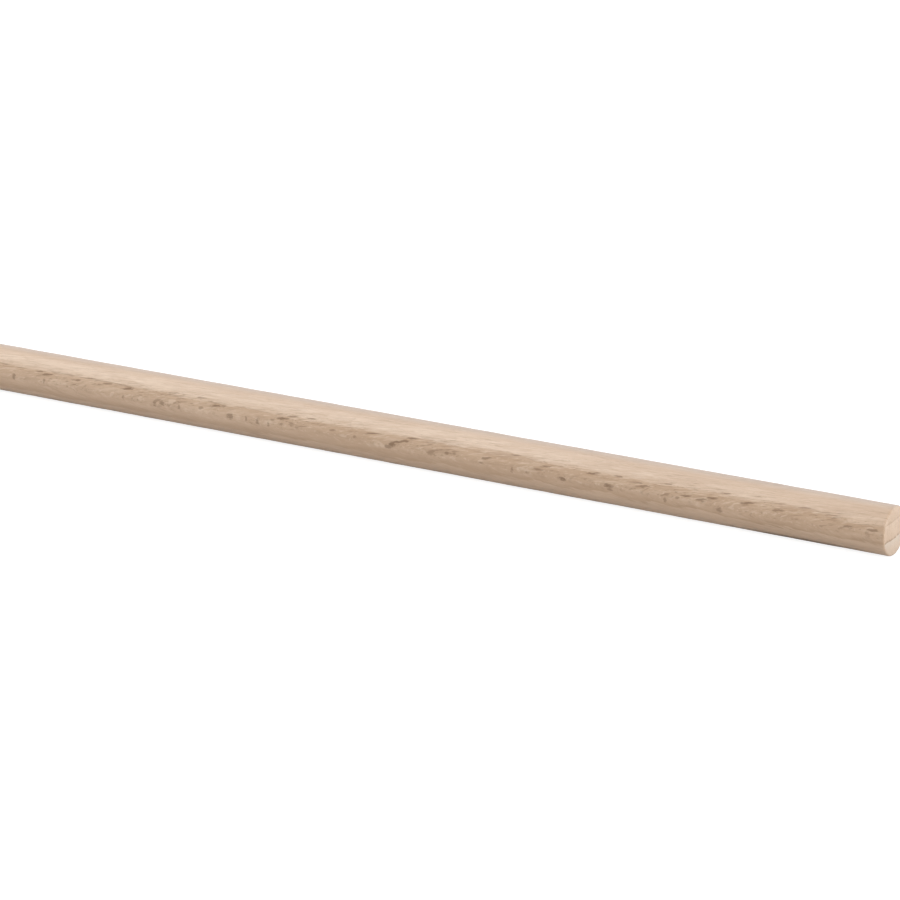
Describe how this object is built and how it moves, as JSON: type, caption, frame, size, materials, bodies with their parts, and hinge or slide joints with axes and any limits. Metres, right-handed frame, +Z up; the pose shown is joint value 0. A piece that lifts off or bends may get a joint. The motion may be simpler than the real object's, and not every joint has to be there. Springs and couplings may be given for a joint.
{
  "type": "wooden dowel",
  "caption": "Straight round rod of bare planed beech with square-sawn, lightly eased ends, used as pegs, rails, spindles and trim.",
  "frame": {"origin": "on the surface that the dowel lies on, straight below the middle of its length", "axes": "+X along the dowel, +Z up"},
  "size_m": [1, 0.012, 0.012],
  "materials": {
    "beech": "planed and sanded, bare"
  },
  "bodies": {
    "root": {"dowel": "beech"}
  },
  "joints": []
}
